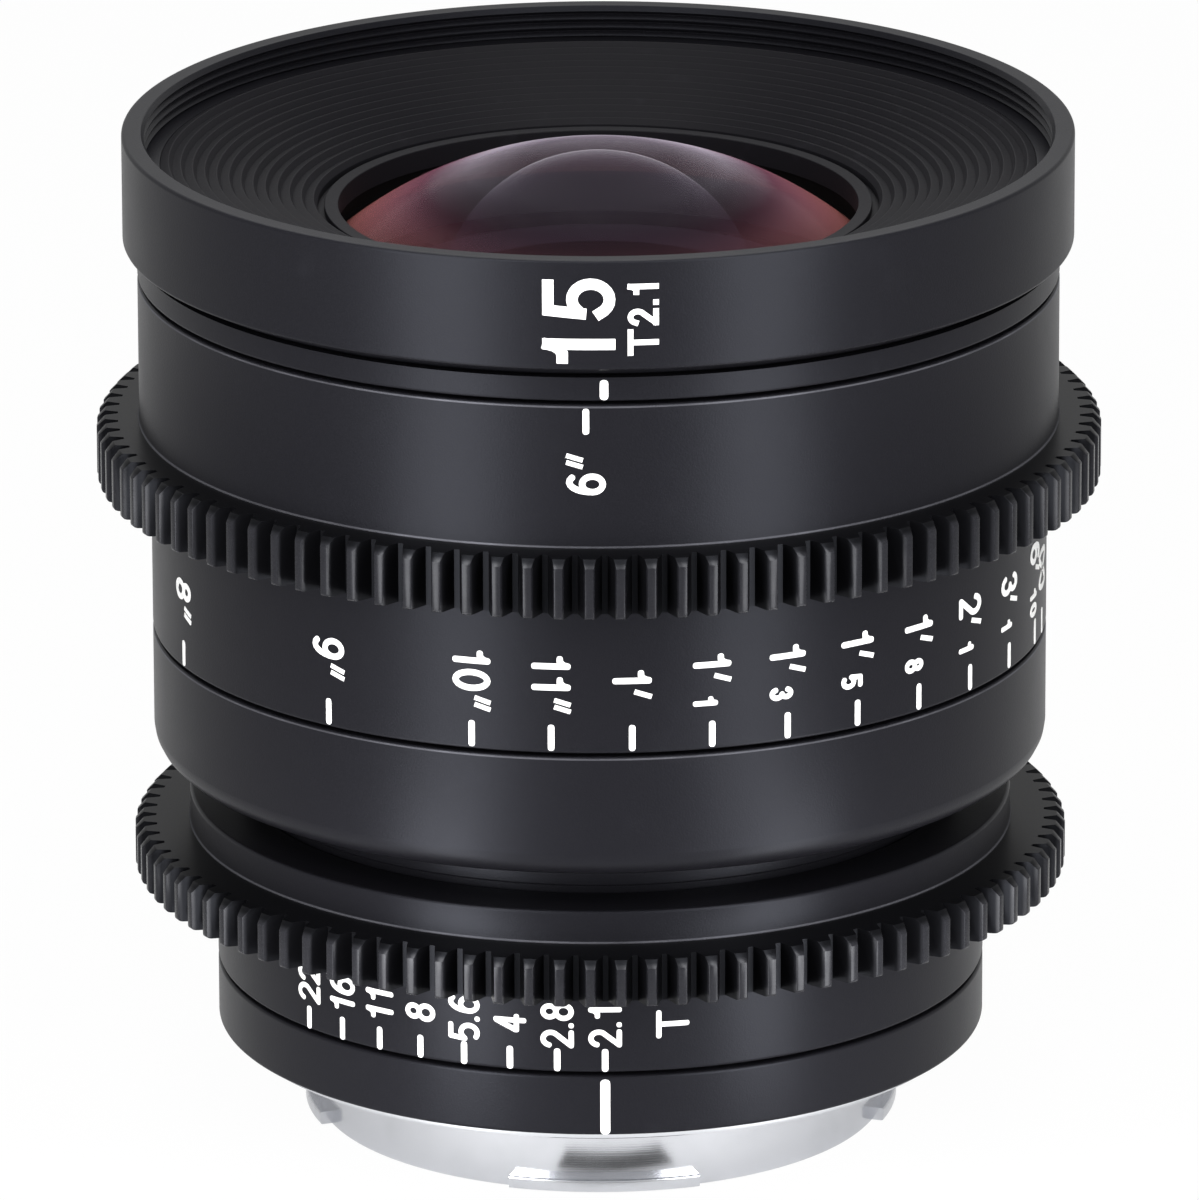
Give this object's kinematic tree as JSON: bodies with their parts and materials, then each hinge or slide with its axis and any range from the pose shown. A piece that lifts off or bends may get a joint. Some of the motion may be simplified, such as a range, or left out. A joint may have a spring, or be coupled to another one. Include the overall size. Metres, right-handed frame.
{
  "type": "cinema prime lens",
  "caption": "Manual cinema prime lens with geared focus and iris rings, a domed front glass, a working iris and a bright bayonet camera mount.",
  "frame": {"origin": "centre of the camera flange face, on the optical axis", "axes": "+Z along the optical axis to the front; the index marks face -Y"},
  "size_m": [0.0848, 0.0848, 0.0851],
  "materials": {
    "anodised": "satin black anodised",
    "gear_black": "satin black anodised, machined teeth",
    "baffle_black": "matte black",
    "inner_black": "matte black anodised",
    "mount_bright": "bright satin plating",
    "steel": "ground",
    "brass": "machined",
    "blade_steel": "blackened",
    "front_glass": "coated, polished",
    "inner_glass": "coated, polished",
    "marking": "filled engraving, matte"
  },
  "bodies": {
    "barrel": {"front_ring": "anodised", "front_baffle": "baffle_black", "front_cell": "inner_black", "front_element": "front_glass", "front_retaining_ring": "inner_black", "second_element": "inner_glass", "second_retaining_ring": "inner_black", "front_lock_ring": "inner_black", "index_ring": "anodised", "main_barrel": "inner_black", "guide_plate": "inner_black", "guide_rods": "steel", "rear_barrel": "anodised", "rear_cell": "inner_black", "rear_element_front": "inner_glass", "rear_spacer": "inner_black", "rear_element_back": "inner_glass", "rear_retaining_ring": "inner_black", "iris_base": "inner_black", "iris_cover": "inner_black", "mount_collar": "anodised", "mount_shim": "steel", "bayonet_mount": "mount_bright", "mount_screws": "steel", "rear_baffle": "inner_black"},
    "focus_ring": {"focus_sleeve": "anodised", "focus_gear": "gear_black", "distance_scale_ring": "anodised", "helicoid_ring": "brass", "focus_drive_key": "steel"},
    "focus_group": {"focus_cell": "inner_black", "focus_element_front": "inner_glass", "focus_element_rear": "inner_glass", "focus_retaining_ring": "inner_black"},
    "iris_control": {"iris_ring": "anodised", "iris_gear": "gear_black", "iris_drive_pin": "steel", "iris_actuator": "brass"},
    "blade_1": {"iris_blade_1": "blade_steel"},
    "blade_2": {"iris_blade_2": "blade_steel"},
    "blade_3": {"iris_blade_3": "blade_steel"},
    "blade_4": {"iris_blade_4": "blade_steel"},
    "blade_5": {"iris_blade_5": "blade_steel"},
    "blade_6": {"iris_blade_6": "blade_steel"},
    "blade_7": {"iris_blade_7": "blade_steel"}
  },
  "joints": [
    {"name": "focus_turn", "type": "hinge", "parent": "barrel", "child": "focus_ring", "pos_m": [0, 0, 0.0515], "axis": [0, 0, 1], "range_deg": [-262, 0]},
    {"name": "focus_travel", "type": "slide", "parent": "barrel", "child": "focus_group", "axis": [0, 0, 1], "range_m": [-0.0035, 0]},
    {"name": "iris_turn", "type": "hinge", "parent": "barrel", "child": "iris_control", "pos_m": [0, 0, 0.0165], "axis": [0, 0, 1], "range_deg": [0, 49]},
    {"name": "blade_swing_1", "type": "hinge", "parent": "barrel", "child": "blade_1", "pos_m": [0.022, 0, 0.01275], "axis": [0, 0, 1], "range_deg": [0, 26.68]},
    {"name": "blade_swing_2", "type": "hinge", "parent": "barrel", "child": "blade_2", "pos_m": [0.01372, 0.0172, 0.0131], "axis": [0, 0, 1], "range_deg": [0, 26.68]},
    {"name": "blade_swing_3", "type": "hinge", "parent": "barrel", "child": "blade_3", "pos_m": [-0.0049, 0.02145, 0.01345], "axis": [0, 0, 1], "range_deg": [0, 26.68]},
    {"name": "blade_swing_4", "type": "hinge", "parent": "barrel", "child": "blade_4", "pos_m": [-0.01982, 0.00954, 0.0138], "axis": [0, 0, 1], "range_deg": [0, 26.68]},
    {"name": "blade_swing_5", "type": "hinge", "parent": "barrel", "child": "blade_5", "pos_m": [-0.01982, -0.00954, 0.01415], "axis": [0, 0, 1], "range_deg": [0, 26.68]},
    {"name": "blade_swing_6", "type": "hinge", "parent": "barrel", "child": "blade_6", "pos_m": [-0.0049, -0.02145, 0.0145], "axis": [0, 0, 1], "range_deg": [0, 26.68]},
    {"name": "blade_swing_7", "type": "hinge", "parent": "barrel", "child": "blade_7", "pos_m": [0.01372, -0.0172, 0.01485], "axis": [0, 0, 1], "range_deg": [0, 26.68]}
  ],
  "couplings": [
    {"joint": "focus_travel", "follows": "focus_turn", "m_per_rad": 0.00076538},
    {"joint": "blade_swing_1", "follows": "iris_turn", "ratio": 0.54437},
    {"joint": "blade_swing_2", "follows": "iris_turn", "ratio": 0.54437},
    {"joint": "blade_swing_3", "follows": "iris_turn", "ratio": 0.54437},
    {"joint": "blade_swing_4", "follows": "iris_turn", "ratio": 0.54437},
    {"joint": "blade_swing_5", "follows": "iris_turn", "ratio": 0.54437},
    {"joint": "blade_swing_6", "follows": "iris_turn", "ratio": 0.54437},
    {"joint": "blade_swing_7", "follows": "iris_turn", "ratio": 0.54437}
  ]
}
